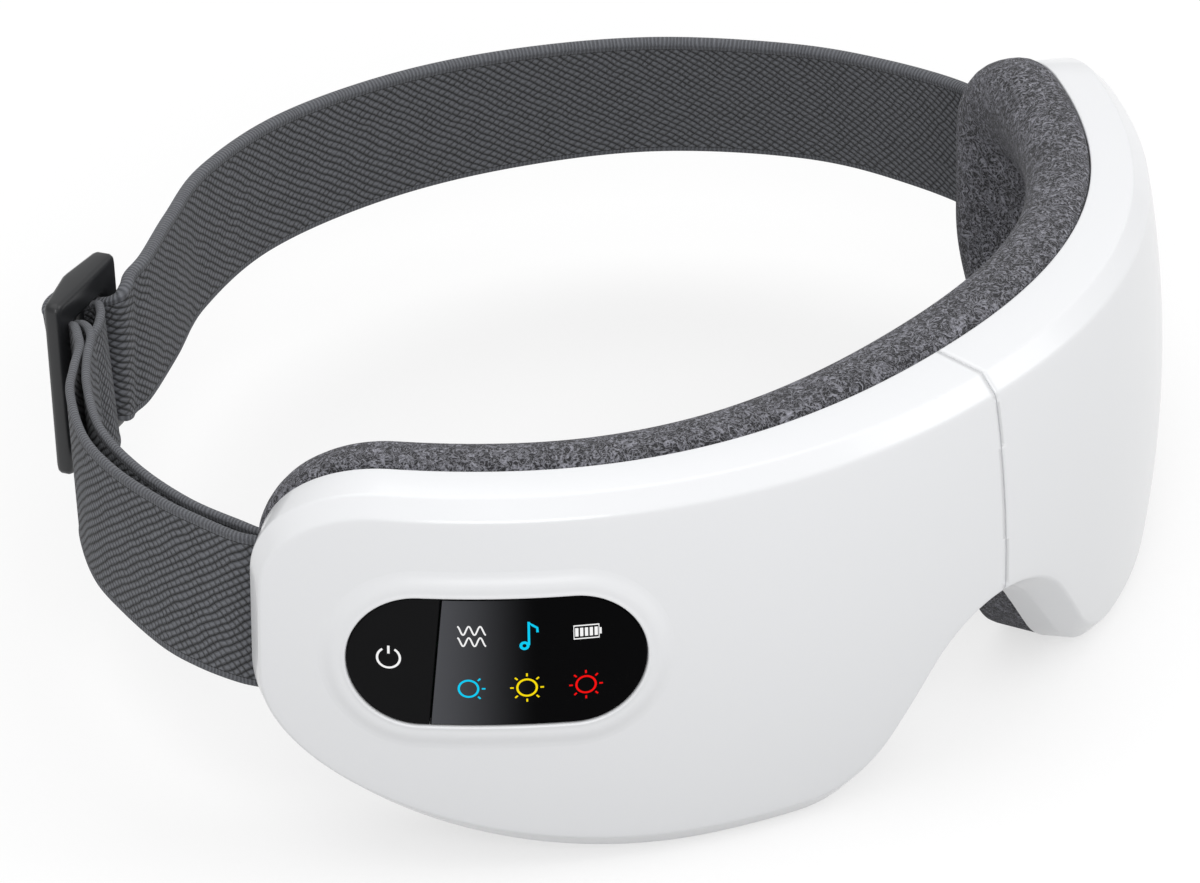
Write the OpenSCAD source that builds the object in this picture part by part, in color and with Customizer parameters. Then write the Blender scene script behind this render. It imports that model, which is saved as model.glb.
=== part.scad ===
// Foldable heated eye massager: two moulded halves hinged over the nose, a face cushion and an elastic strap.
// Millimetres. Minus Y is the front and plus Z is up. The display half is at minus X, the left of a front view.
// Each half is built once, for plus X, on a curved face described by s (length along the face from the nose),
// d (depth behind the front curve) and z. The display half is the mirrored one.

/* [Face] */
// Length of half the face along its curve, nose to temple rim
half_arc = 132.8; // [120:145]
// Height of the rim
rim_height = 68.1; // [60:76]
// Angle the face turns by the temple, degrees
face_wrap = 67; // [55:75]
// Forward bulge of the front at mid height
face_bulge = 3; // [1:4]
// Depth of the front shell at its edge
shell_depth = 9.2; // [8.6:12]
// Shell wall thickness
wall = 2.2; // [1.8:2.6]
// Gap between the two halves at the nose
seam_gap = 0.3; // [0.2:0.6]

/* [Outline] */
// Temple corner, along the face
corner_length = 23.4; // [18:30]
// Temple corner, in height
corner_height = 17.3; // [12:22]
// Height of the widest point of the lobe
lobe_height = 34.9; // [30:40]
// Where the flat foot of the lobe ends
foot_end = 56; // [50:64]
// Where the flat foot of the lobe starts
foot_start = 40; // [36:44]
// Radius of the inner curve of the lobe
lobe_radius = 24.2; // [20:27]
// Height of the nose arch
arch_height = 25; // [20:30]
// Radius of the nose arch
arch_radius = 17.4; // [14:20]

/* [Cushion] */
// How far the cushion stands behind the shell rim
pad_depth = 11.1; // [9:14]
// Clear gap between the frame and the cushion parts
pad_gap = 0.2; // [0.15:0.4]

/* [Display] */
// Middle of the display panel along the face
panel_at = 91.6; // [86:94]
// Height of the rim above the middle of the display panel
panel_drop = 28.1; // [26:31]
// Length of the display panel
panel_length = 47; // [42:50]
// Height of the display panel
panel_height = 23; // [20:26]
// Where the button meets the window
button_edge = 101.1; // [99:103]
// Clearance round the window and the button
panel_fit = 0.2; // [0.15:0.3]
// Travel of the power button
button_travel = 0.4; // [0.3:0.5]
// Clear gap between the shell wall and the flange of the window behind it
flange_gap = 0.3; // [0.25:0.5]
// Thickness of the flange round the window and the button
flange_thick = 0.75; // [0.6:0.9]

/* [Hinge] */
// Radius of the hinge barrel
barrel_radius = 2.4; // [2.2:2.8]
// Radius of the hinge pin
pin_radius = 1.2; // [1:1.4]
// Radial running clearance of the hinge pin
pin_fit = 0.05; // [0.03:0.1]
// Height of the rim above the hinge barrel
barrel_drop = 4; // [3:8]

/* [Strap] */
// Length from the nose front to the back of the strap
loop_length = 165.5; // [158:172]
// Widest width of the strap
loop_width = 196; // [192:200]
// Width of the head strap
strap_width = 28; // [24:32]
// Thickness of the long strap
strap_thick = 2.2; // [1.6:2.6]
// Height of the rim above the middle of the strap
strap_drop = 29.8; // [28:32]
// Radius of the bars that hold the strap
bar_radius = 1.2; // [1:1.4]
// Depth of the cushion's pocket for the strap, behind the bar
strap_room = 2.6; // [2.5:3]
// Length of the strap slider
slider_length = 24; // [22:28]
// Thickness of the strap slider
slider_thick = 5.2; // [4.6:6]

/* [Fasteners] */
// Radius of the case screw thread
screw_radius = 0.9; // [0.8:1]
// Radius of the case screw head
head_radius = 1.9; // [1.7:2.1]
// Clearance round the screws
screw_fit = 0.05; // [0.04:0.1]

/* [Hidden] */
$fn = 32;

// The origin lies under the middle of the whole, so the nose front stands this far forward of it
nose_to_middle = 83.4;

// Share of the wrap that grows evenly, and share that grows with the square of the distance
even_share = 0.78;
square_share = 0.75;
// The rim stands this far outside the crease round the front
rim_flare = 0.8;
crease_arc = half_arc - rim_flare;
g0 = seam_gap / 2;
frame_front = shell_depth - 1.7;
frame_back = shell_depth + 0.1;
pad_back = frame_back + pad_gap;
hinge_y = shell_depth + 0.4;
hinge_z = arch_height + 3.1;
barrel_height = rim_height - barrel_drop - hinge_z;
panel_z = rim_height - panel_drop;
strap_z = rim_height - strap_drop;
// Height of the pump and valve line
pump_z = rim_height - 28.1;

// Flat cable from board to board: its lower edge and its width
cable_z = rim_height - 10.6;
cable_width = 4.9;

function turn(s) = let (t = s / crease_arc)
  face_wrap * (even_share * t + square_share * t * t + (1 - even_share - square_share) * t * t * t);

// Plan curve summed in one millimetre steps
steps = ceil(half_arc) + 12;
plan = [for (i = 0, a = turn(0.5), x = 0, y = 0; i <= steps; i = i + 1, x = x + cos(a), y = y + sin(a),
  a = turn(i + 0.5)) [i, x, y]];
plan_x = [for (p = plan) [p[0], p[1]]];
plan_y = [for (p = plan) [p[0], p[2]]];

function on_face(s, z, d) = let (a = turn(s))
  [lookup(s, plan_x) - sin(a) * d, lookup(s, plan_y) + cos(a) * d - nose_to_middle, z];

module at(s, z, d) translate(on_face(s, z, d)) rotate([0, 0, turn(s)]) children();
module left() mirror([1, 0, 0]) children();

// Half outline with an inset of i: top and bottom height at s
c1 = [foot_start, lobe_radius];
c2 = [0, arch_height - arch_radius];
lean_s = atan2(c1[1] - c2[1], c1[0] - c2[0]) + acos((lobe_radius + arch_radius) / norm(c1 - c2));
function top_z(s, i) = let (sc = half_arc - corner_length)
  s < sc ? rim_height - i
  : rim_height - corner_height
    + (corner_height - i) * sqrt(max(0, 1 - pow((s - sc) / (corner_length - i), 2)));
function low_z(s, i) = let (
    t1 = [c1[0] - (lobe_radius - i) * cos(lean_s), c1[1] - (lobe_radius - i) * sin(lean_s)],
    t2 = [c2[0] + (arch_radius + i) * cos(lean_s), c2[1] + (arch_radius + i) * sin(lean_s)])
  s >= foot_end
    ? lobe_height - (lobe_height - i) * sqrt(max(0, 1 - pow((s - foot_end) / (half_arc - foot_end - i), 2)))
  : s >= foot_start ? i
  : s >= t1[0] ? c1[1] - sqrt(pow(lobe_radius - i, 2) - pow(s - c1[0], 2))
  : s >= t2[0] ? t2[1] + (t1[1] - t2[1]) * (s - t2[0]) / (t1[0] - t2[0])
  : c2[1] + sqrt(pow(arch_radius + i, 2) - s * s);

// Stations along the face, closer together where the outline turns
us = [for (s = [0, 3.2, 6.5, 9.6, 12.2, 14.2, 21, 24, 28, 34, 40, 48, 56, 66, 76, 85, 94, 102, 109, 115, 120,
  124.5, 128, 130.6, 132.2, 132.8]) s / 132.8];
vs = [0, 0.12, 0.3, 0.5, 0.7, 0.88, 1];

// A layer is [inset, start along the face, inset of its temple end, depth function of (s, z, u, v)]
function half_cell(u, v, L) = let (
    s = L[1] + (half_arc - L[2] - L[1]) * u,
    a = low_z(s, L[0]),
    b = top_z(s, L[0]),
    z = a + (b - a) * v)
  on_face(s, z, L[3](s, z, u, v));

// Oval cell for the display panel: inset, unused, unused, depth function
panel_r = panel_height / 2;
panel_straight = panel_length / 2 - panel_r;
function oval_cell(u, v, L) = let (
    r = panel_r - L[0],
    x = -cos(180 * u) * (panel_straight + r),
    e = max(0.5, sqrt(max(0, r * r - pow(max(0, abs(x) - panel_straight), 2)))),
    s = panel_at + x,
    z = panel_z + e * (2 * v - 1))
  on_face(s, z, L[3](s, z, u, v));
us_oval = [for (i = [0:16]) i / 16];
vs_oval = [for (i = [0:4]) i / 4];

function rim_uv(U, V) = let (n = len(U) - 1, m = len(V) - 1) concat(
  [for (k = [0:m - 1]) [U[0], V[k]]],
  [for (j = [0:n - 1]) [U[j], V[m]]],
  [for (k = [m:-1:1]) [U[n], V[k]]],
  [for (j = [n:-1:1]) [U[j], V[0]]]);
function rim_index(n, m, off) = concat(
  [for (k = [0:m - 1]) off + k],
  [for (j = [0:n - 1]) off + j * (m + 1) + m],
  [for (k = [m:-1:1]) off + n * (m + 1) + k],
  [for (j = [n:-1:1]) off + j * (m + 1)]);
function strip(A, B) = let (n = len(A)) [for (j = [0:n - 1]) for (t = [0, 1])
  let (k = (j + 1) % n) t == 0 ? [A[j], B[j], B[k]] : [A[j], B[k], A[k]]];

// Closed solid from a front grid, rings and a back grid
module layered(cell, U, V, front, rings, back) {
  n = len(U) - 1;
  m = len(V) - 1;
  size = (n + 1) * (m + 1);
  around = rim_uv(U, V);
  ring = len(around);
  points = concat(
    [for (u = U) for (v = V) cell(u, v, front)],
    [for (L = rings) for (q = around) cell(q[0], q[1], L)],
    [for (u = U) for (v = V) cell(u, v, back)]);
  last = size + len(rings) * ring;
  loops = concat([rim_index(n, m, 0)],
    [for (r = [0:1:len(rings) - 1]) [for (j = [0:ring - 1]) size + r * ring + j]],
    [rim_index(n, m, last)]);
  faces = concat(
    [for (j = [0:n - 1]) for (k = [0:m - 1]) for (t = [0, 1]) let (a = j * (m + 1) + k, b = a + m + 1)
      t == 0 ? [a, a + 1, b + 1] : [a, b + 1, b]],
    [for (r = [0:len(loops) - 2]) each strip(loops[r], loops[r + 1])],
    [for (j = [0:n - 1]) for (k = [0:m - 1]) for (t = [0, 1])
      let (a = last + j * (m + 1) + k, b = a + m + 1) t == 0 ? [a, b + 1, a + 1] : [a, b, b + 1]]);
  polyhedron(points = points, faces = faces, convexity = 8);
}
half_of = function(u, v, L) half_cell(u, v, L);
oval_of = function(u, v, L) oval_cell(u, v, L);

// Depth of the bulged front at height z, moved back by k
mid_z = rim_height / 2;
function bulge(z, k) = k - face_bulge * (1 - pow((z - mid_z) / (mid_z - rim_flare), 2));
function face(k) = function(s, z, u, v) bulge(z, k);
function flat(d) = function(s, z, u, v) d;

// Plate that follows the curved face, from depth a to depth b, with stations U along it
us_even = [for (i = [0:14]) i / 14];
module plate(i, g, e, a, b, U) layered(half_of, U, vs, [i, g, e, flat(a)], [], [i, g, e, flat(b)]);

// Oval slab that follows the front, inset i, from a to b behind the bulged front
module oval(i, a, b) layered(oval_of, us_oval, vs_oval, [i, 0, 0, face(a)], [], [i, 0, 0, face(b)]);

// Screw places on each half, as s and z
case_holes = [[20, cable_z - 3.5], [panel_at - panel_length / 2 - 1.7, cable_z - 3.3], [121, rim_height - 8.6],
  [50, 7.5], [100, 15.5]];
leaf_holes = [[6.3, hinge_z + 4], [13, hinge_z + 12], [6.3, hinge_z + barrel_height - 4],
  [13, hinge_z + barrel_height - 12]];

// Strap bar place on each half
bar_s = half_arc - 14.8;
bar_d = shell_depth + 2.8;

module bare_shell() {
  difference() {
    union() {
      layered(half_of, us, vs,
        [rim_flare + 3, g0, rim_flare + 3, face(0)],
        [[rim_flare, g0, rim_flare, flat(2.2)],
         [0, g0, 0, flat(shell_depth - 1.4)],
         [0, g0, 0, flat(shell_depth)],
         [wall, g0 + wall, wall, flat(shell_depth)],
         [wall, g0 + wall, wall, flat(4.6)],
         [wall + 0.7, g0 + wall, wall + 0.7, flat(3.2)]],
        [wall + 3.2, g0 + wall, wall + 3.2, face(wall)]);
      for (h = case_holes) at(h[0], h[1], 0) rotate([-90, 0, 0]) translate([0, 0, -0.6])
        cylinder(r = 2.7, h = frame_front + 0.5);
    }
    for (h = case_holes) at(h[0], h[1], 0) rotate([-90, 0, 0]) translate([0, 0, 1])
      cylinder(r = screw_radius + screw_fit, h = 20);
    // Relief round the hinge barrel
    translate([0, hinge_y - nose_to_middle, -1]) cylinder(r = barrel_radius + 0.4, h = rim_height + 2);
    // Slot for the flat cable
    translate([-1, cable_d - 0.6 - nose_to_middle, cable_z - 0.5]) cube([6, 1.6, cable_width + 1.1]);
  }
}

module front_shell_left() color("#f2f2f2") left() difference() {
  union() {
    bare_shell();
    // Raised lip round the display panel
    layered(oval_of, us_oval, vs_oval, [-0.7, 0, 0, face(-0.55)], [[-1.6, 0, 0, face(-0.3)]],
      [-2.2, 0, 0, face(0.8)]);
  }
  layered(oval_of, us_oval, vs_oval, [-0.3, 0, 0, face(-3)], [[0, 0, 0, face(0)]], [0, 0, 0, face(5)]);
  // Mouth of the charging port
  at(port_s, -1, port_d) port_outline(port_half + port_fit, port_edge + port_fit, 9);
}

module front_shell_right() color("#f2f2f2") bare_shell();

module rear_frame() difference() {
  union() {
    plate(wall + 0.25, g0 + wall + 0.3, wall + 0.25, frame_front, frame_back, us);
    // Ears that hold the strap bar
    for (z = [strap_z - strap_width / 2 - 3.4, strap_z + strap_width / 2 + 0.4]) at(bar_s, z, frame_back - 0.6)
      translate([-2.4, 0, 0]) cube([4.8, bar_d - frame_back + 2.9, 3]);
  }
  for (h = case_holes) at(h[0], h[1], 0) rotate([-90, 0, 0]) {
    cylinder(r = screw_radius + 0.2, h = 30);
    translate([0, 0, frame_back - 1.15]) cylinder(r = head_radius + 0.15, h = 9);
  }
  for (h = leaf_holes) at(h[0], h[1], 0) rotate([-90, 0, 0]) cylinder(r = screw_radius + screw_fit, h = 20);
  at(bar_s, 0, bar_d) cylinder(r = bar_radius + 0.05, h = 80);
  translate([0, hinge_y - nose_to_middle, -1]) cylinder(r = barrel_radius + 0.4, h = rim_height + 2);
  // Air hole to the bag
  at(air_s, air_z, 0) rotate([-90, 0, 0]) cylinder(r = air_neck + 0.15, h = 20);
}
module rear_frame_left() color("#3a3b3e") left() rear_frame();
module rear_frame_right() color("#3a3b3e") rear_frame();

// Cushion: rolled edge, a crest all round, and a hollow in the middle
crest = shell_depth + pad_depth;
function hollow(d0, k) = function(s, z, u, v)
  d0 - k * pow(max(0, sin(180 * u)), 0.6) * pow(max(0, sin(180 * v)), 0.6);
bag_end = 24;
bag_inset = 12;
bag_start = 20;
module pad() difference() {
  layered(half_of, us, vs,
    [1.2, g0, 1.2, flat(pad_back)],
    [[0.3, g0, 0.3, flat(pad_back + 1)],
     [0, g0, -0.6, flat(pad_back + 3.5)],
     [0.3, g0, -0.6, flat(crest - 4.4)],
     [2, g0, 1.2, flat(crest - 1.6)],
     [5.6, g0, 5, flat(crest)],
     [9, g0, 9, flat(crest - 0.9)]],
    [11.5, g0, 11.5, hollow(crest - 2.2, 3)]);
  // Pocket for the air bag and the heater film
  plate(bag_inset - 0.3, bag_start - 0.3, bag_end - 0.3, pad_back - 0.5, bag_back + 1, us_even);
  // Pocket for the strap and its bar
  at(bar_s, strap_z - strap_width / 2 - 3.9, pad_back - 2) translate([-3.2, 0, 0])
    cube([6.4, bar_d - pad_back + 4.8, strap_width + 7.8]);
  at(bar_s, strap_z - strap_width / 2 - 0.5, pad_back - 2) cube([30, bar_d - pad_back + 2 + strap_room,
    strap_width + 1]);
  // Pocket for the hinge, and the bevel that lets the halves fold
  translate([-1, pad_back - nose_to_middle - 3, hinge_z - 1.5]) cube([17.6, 5.6, barrel_height + 3]);
  translate([0, -nose_to_middle, -1]) linear_extrude(rim_height + 2)
    polygon([[-3, hinge_y - 3], [0.4, hinge_y - 3], [0.4, hinge_y], [20.4, hinge_y + 20], [-3, hinge_y + 20]]);
}
module face_pad_left() color("#5a5a5e") left() pad();
module face_pad_right() color("#5a5a5e") pad();

module face_pad_bridge() color("#5a5a5e") translate([0, -nose_to_middle, 0]) difference() {
  translate([0, 0, arch_height - 4]) linear_extrude(rim_height - arch_height + 3.2)
    polygon([[-1.6, hinge_y + 2.9], [1.6, hinge_y + 2.9], [8, hinge_y + 9.3], [7, hinge_y + 10.1],
      [-7, hinge_y + 10.1], [-8, hinge_y + 9.3]]);
  // Underside follows the nose arch
  translate([0, 0, arch_height - arch_radius]) rotate([-90, 0, 0]) cylinder(r = arch_radius + 1.2, h = 60);
}

module display_window() color("#101114") left() difference() {
  union() {
    oval(panel_fit, 0.1, wall + flange_gap + 0.1);
    oval(-1.2, wall + flange_gap, flange_back);
  }
  button_side(0);
}
flange_back = wall + flange_gap + flange_thick;
// Everything on the button's side of the slanted edge, moved by k
module button_side(k) at(button_edge + k, panel_z, 0) rotate([0, 5, 0]) translate([0, -15, -30])
  cube([30, 40, 60]);

module power_button() color("#17181b") left() intersection() {
  union() {
    oval(panel_fit, -0.1, wall + flange_gap + 0.1);
    oval(-1, wall + flange_gap, flange_back);
  }
  button_side(2 * panel_fit);
}

board_s = 108.2;
board_d = 3.4;
// The plunger ends just short of the back of the button at the end of its travel
plunger = board_d - bulge(panel_z, flange_back) - button_travel - 0.15;
module power_switch() color("#c9ccd0") left() at(board_s, panel_z, board_d) rotate([90, 0, 0]) {
  translate([-3, -3, 0]) cube([6, 6, 1.8]);
  cylinder(r = 1.5, h = plunger);
}

module display_board() color("#1f6b3a") left() at(85, panel_z, 2) {
  translate([-14, 0, -9.5]) cube([28, 0.8, 19]);
  for (x = [-7.4, 1.8, 10.5]) for (z = [-5.2, 4.7]) translate([x - 1.4, -0.5, z - 1.4]) cube([2.8, 0.51, 2.8]);
}

// Main board with its chips; its upper edge carries the cable socket
board_z = 22.5;
board_half = 12.5;
board_height = cable_z - board_z - 1;
module main_board() color("#1f6b3a") left() at(board_s, board_z, board_d) {
  difference() {
    translate([-board_half, 0, 0]) cube([2 * board_half, 1, board_height]);
    for (z = [2.5, board_height - 2.5]) translate([9.5, -1, z]) rotate([-90, 0, 0]) cylinder(r = 1, h = 3);
  }
  translate([-10, 0.99, 20]) cube([8, 1.2, 8]);
  translate([2, 0.99, 24]) cube([5, 1, 4]);
  translate([-10, 0.99, 6]) cube([4, 1.6, 3]);
  translate([-9, 0.99, 11]) cube([3, 0.8, 2]);
  translate([-board_half, -0.6, board_height - 0.5]) cube([6, 2.2, cable_width + 2.6]);
}

// Battery pouch under the cable, with its protection board at one end
battery_z = 27;
battery_height = cable_z - battery_z - 5.5;
module battery() color("#7d8791") left() at(44, battery_z, 2.4) {
  translate([-20, 0, 0]) cube([38, 4.5, battery_height]);
  translate([18, 0.6, 3]) cube([1.6, 3.3, battery_height - 6]);
}

// Rounded oblong standing on its end, half length a, half width b
module port_outline(a, b, h) linear_extrude(h) {
  translate([-a + b, -b]) square([2 * (a - b), 2 * b]);
  for (x = [-a + b, a - b]) translate([x, 0]) circle(r = b);
}
// Charging socket: half length, half width, sheet and clearance in the shell
port_s = 72;
port_d = 5.4;
port_half = 4.47;
port_edge = 1.6;
port_sheet = 0.32;
port_fit = 0.14;
module charging_port() color("#b9bcc2") left() at(port_s, 1.1, port_d) {
  difference() {
    port_outline(port_half, port_edge, 7.4);
    translate([0, 0, -1]) port_outline(port_half - port_sheet, port_edge - port_sheet, 7.4);
  }
  translate([-3.3, -0.35, 0.9]) cube([6.6, 0.7, 5.7]);
}

module speaker() at(113, 33, 4.9) rotate([-90, 0, 0]) {
  cylinder(r = 7.5, h = 1.4);
  translate([0, 0, 1.39]) cylinder(r = 5, h = 0.9);
}
module speaker_left() color("#2b2c30") left() speaker();
module speaker_right() color("#2b2c30") speaker();

module vibration_motor() at(66, 14, 4) rotate([0, 90, 0]) {
  translate([0, 0, -5]) cylinder(r = 3, h = 10);
  translate([0, 0, 4.9]) cylinder(r = 0.5, h = 4.5);
  translate([0, 0, 5.6]) intersection() {
    cylinder(r = 2.6, h = 3.4);
    translate([-0.6, -4, -1]) cube([8, 8, 6]);
  }
}
module vibration_motor_left() color("#a9adb3") left() vibration_motor();
module vibration_motor_right() color("#a9adb3") vibration_motor();

bag_back = pad_back + 2.4;
// Neck of the air bag
air_s = 104;
air_z = pump_z + 1;
air_neck = 1.6;
module air_bag() union() {
  plate(bag_inset, bag_start, bag_end, pad_back + 0.2, bag_back, us_even);
  at(air_s, air_z, frame_front + 0.1) rotate([-90, 0, 0])
    cylinder(r = air_neck, h = pad_back + 0.6 - frame_front);
}
module air_bag_left() color("#d9c9a8") left() air_bag();
module air_bag_right() color("#d9c9a8") air_bag();

module heater_film() plate(bag_inset, bag_start, bag_end, bag_back + 0.2, bag_back + 0.6, us_even);
module heater_film_left() color("#c8742c") left() heater_film();
module heater_film_right() color("#c8742c") heater_film();

// Pump, motor and valve share one depth and one top height; a nozzle stands on the pump and on the valve
pump_s = 66;
pump_d = 4.2;
pump_half = 7;
nozzle = 0.95;
nozzle_height = 1.5;
module nozzle_at(s) at(s, pump_z + pump_half - 0.1, pump_d) cylinder(r = nozzle, h = nozzle_height);
module air_pump() color("#e8e8e4") {
  at(pump_s, pump_z, pump_d) translate([-17, -2.9, -pump_half]) cube([17, 5.8, 2 * pump_half]);
  nozzle_at(tube_start);
}
module pump_motor() color("#a9adb3") at(pump_s, pump_z, pump_d) rotate([0, 90, 0]) {
  cylinder(r = 2.95, h = 15);
  translate([0, 0, 14.9]) cylinder(r = 1.2, h = 1.2);
}
module air_valve() color("#e8e8e4") {
  at(air_s - 5, pump_z, pump_d) translate([-4.4, -2.6, -4]) cube([9, 5.2, pump_half + 4]);
  nozzle_at(tube_end);
}

// Air tube along the face: up from the pump, across, and down to the valve
tube_start = pump_s - 12.2;
tube_end = air_s - 6;
tube_z = pump_z + pump_half + 2.7;
tube_outer = 1.45;
tube_bore = nozzle + 0.11;
tube_path = concat(
  [[tube_start, tube_z - 2.6, 90], [tube_start, tube_z - 1.4, 90], [tube_start + 0.5, tube_z - 0.4, 45]],
  [for (i = [0:8]) [tube_start + 1.5 + (tube_end - tube_start - 3) * i / 8, tube_z, 0]],
  [[tube_end - 0.5, tube_z - 0.4, -45], [tube_end, tube_z - 1.4, -90], [tube_end, tube_z - 2.6, -90]]);
function tube_ring(p, r) = [for (k = [0:9]) let (a = 36 * k, n = r * cos(a))
  on_face(p[0] - n * sin(p[2]), p[1] + n * cos(p[2]), pump_d + r * sin(a))];
// Rings run out along the outside and back along the bore
module air_tube() color("#dfe3e6") {
  n = len(tube_path);
  points = concat([for (p = tube_path) each tube_ring(p, tube_outer)],
    [for (i = [n - 1:-1:0]) each tube_ring(tube_path[i], tube_bore)]);
  faces = [for (i = [0:2 * n - 1]) for (k = [0:9]) for (t = [0, 1])
    let (a = i * 10, b = (i + 1) % (2 * n) * 10, m = (k + 1) % 10)
    t == 0 ? [a + k, a + m, b + m] : [a + k, b + m, b + k]];
  polyhedron(points = points, faces = faces, convexity = 6);
}

module pump_board() color("#1f6b3a") at(90, cable_z - 3, cable_d - 0.4) {
  translate([-8, 0, 0]) cube([16, 1, 9]);
  translate([-1, -0.8, 2]) cube([5, 0.81, 5]);
  translate([-8, -0.5, 2.2]) cube([4, 2.2, 7]);
}

// Flat cable across the nose; it ends just short of the two sockets
cable_d = 4;
cable_thick = 0.25;
cable_from = -(board_s - board_half - 0.65);
cable_to = 81.6;
cable_stations = [for (i = [0:24]) cable_from + i * (cable_to - cable_from) / 24];
function signed_face(s, z, d) = let (p = on_face(abs(s), z, d)) [s < 0 ? -p[0] : p[0], p[1], p[2]];
module nose_cable() color("#c98f3d") {
  n = len(cable_stations) - 1;
  section = [[0, 0], [cable_width, 0], [cable_width, cable_thick], [0, cable_thick]];
  points = [for (s = cable_stations) for (q = section) signed_face(s, cable_z + q[0], cable_d + q[1])];
  faces = concat([[3, 2, 1, 0]],
    [for (i = [0:n - 1]) for (k = [0:3]) for (t = [0, 1]) let (a = 4 * i + k, b = 4 * i + (k + 1) % 4)
      t == 0 ? [a, b, b + 4] : [a, b + 4, a + 4]],
    [[4 * n, 4 * n + 1, 4 * n + 2, 4 * n + 3]]);
  polyhedron(points = points, faces = faces, convexity = 4);
}

module strap_bar() at(bar_s, strap_z - strap_width / 2 - 3.4, bar_d)
  cylinder(r = bar_radius, h = strap_width + 6.8);
module strap_bar_left() color("#b9bcc2") left() strap_bar();
module strap_bar_right() color("#b9bcc2") strap_bar();

module case_screws() for (h = case_holes) at(h[0], h[1], 0) rotate([-90, 0, 0]) difference() {
  union() {
    translate([0, 0, 2]) cylinder(r = screw_radius, h = frame_back - 3);
    translate([0, 0, frame_back - 1.15]) cylinder(r = head_radius, h = 1.1);
  }
  for (a = [0, 90]) rotate([0, 0, a]) translate([-1.1, -0.2, frame_back - 0.6]) cube([2.2, 0.4, 2]);
}
module case_screws_left() color("#8f9296") left() case_screws();
module case_screws_right() color("#8f9296") case_screws();

// One hinge leaf: knuckles listed as start and end along the pin. The flat leaf clears the curve of the frame.
leaf_d = frame_back + 0.25;
module hinge_leaf(knuckles) difference() {
  union() {
    for (k = knuckles) translate([0, hinge_y - nose_to_middle, k[0]]) {
      cylinder(r = barrel_radius, h = k[1] - k[0]);
      cube([4.6, 1.3, k[1] - k[0]]);
    }
    at(9.6, hinge_z, leaf_d) translate([-6.4, 0, 0]) cube([12.8, 1.4, barrel_height]);
  }
  translate([0, hinge_y - nose_to_middle, 0]) cylinder(r = pin_radius + pin_fit, h = rim_height);
  for (h = leaf_holes) at(h[0], h[1], 0) rotate([-90, 0, 0]) {
    cylinder(r = screw_radius + 0.1, h = 20);
    translate([0, 0, leaf_d + 0.75]) cylinder(r = head_radius - 0.1, h = 9);
  }
}
third = barrel_height / 3;
module hinge_leaf_left() color("#8f9296") left()
  hinge_leaf([[hinge_z, hinge_z + third - 0.1], [hinge_z + 2 * third + 0.1, hinge_z + barrel_height]]);
module hinge_leaf_right() color("#8f9296")
  hinge_leaf([[hinge_z + third + 0.1, hinge_z + 2 * third - 0.1]]);

module hinge_pin() color("#b9bcc2") translate([0, hinge_y - nose_to_middle, hinge_z - 0.1]) {
  cylinder(r = pin_radius, h = barrel_height + 0.2);
  translate([0, 0, barrel_height + 0.1]) cylinder(r = 1.9, h = 0.9);
}

module hinge_screws() for (h = leaf_holes) at(h[0], h[1], 0) rotate([-90, 0, 0]) {
  translate([0, 0, frame_front - 0.6]) cylinder(r = screw_radius, h = leaf_d + 1.4 - frame_front);
  translate([0, 0, leaf_d + 0.75]) cylinder(r = head_radius - 0.2, h = 0.6);
}
module hinge_screws_left() color("#8f9296") left() hinge_screws();
module hinge_screws_right() color("#8f9296") hinge_screws();

// Smooth curve through points, as rows of [x, y, lean]
function bend(P, t) = let (
    n = len(P) - 1,
    i = min(n - 1, floor(t)),
    f = t - i,
    p1 = P[i],
    p2 = P[i + 1],
    p0 = i > 0 ? P[i - 1] : 2 * p1 - p2,
    p3 = i < n - 1 ? P[i + 2] : 2 * p2 - p1)
  0.5 * (2 * p1 + (p2 - p0) * f + (2 * p0 - 5 * p1 + 4 * p2 - p3) * f * f
    + (3 * p1 - p0 - 3 * p2 + p3) * f * f * f);

// Flat band along a plan curve. The lean tips its lower edge outwards, to the right hand of the way it runs.
module band(P, per, w, t, side) {
  n = (len(P) - 1) * per;
  ring = [[-1, -0.5], [-1, 0.5], [-0.94, 1], [0.94, 1], [1, 0.5], [1, -0.5], [0.94, -1], [-0.94, -1]];
  points = [for (i = [0:n]) each let (
      c = bend(P, i / per),
      e = bend(P, min(i + 0.2, n) / per) - bend(P, max(i - 0.2, 0) / per),
      q = norm([e[0], e[1]]),
      out = side * [e[1], -e[0]] / q)
    [for (r = ring) let (h = r[0] * w / 2, b = r[1] * t / 2, along = b * cos(c[2]) - h * sin(c[2]))
      [c[0] + out[0] * along, c[1] + out[1] * along - nose_to_middle,
       strap_z + h * cos(c[2]) + b * sin(c[2])]]];
  faces = concat([[for (k = [7:-1:0]) k]],
    [for (i = [0:n - 1]) for (k = [0:7]) for (s = [0, 1]) let (a = 8 * i + k, b = 8 * i + (k + 1) % 8)
      s == 0 ? [a, b, b + 8] : [a, b + 8, a + 8]],
    [[for (k = [0:7]) 8 * n + k]]);
  if (side > 0) polyhedron(points = points, faces = faces, convexity = 6);
  else polyhedron(points = points, faces = [for (f = faces) [for (k = [len(f) - 1:-1:0]) f[k]]], convexity = 6);
}

// Place in the loop as shares of its half width and its length, with the lean there
function loop(x, y, lean) = [x * loop_width / 2, y * loop_length, lean];
// Place of the slider behind the head, and the way it faces
slider_at = loop(-0.51, 0.9124, 0);
slider_turn = 26;
function by_slider(x, y) = [slider_at[0] + x * cos(slider_turn) - y * sin(slider_turn),
  slider_at[1] + x * sin(slider_turn) + y * cos(slider_turn), 0];
module slider_place() translate([slider_at[0], slider_at[1] - nose_to_middle, strap_z])
  rotate([0, 0, slider_turn]) children();

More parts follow.
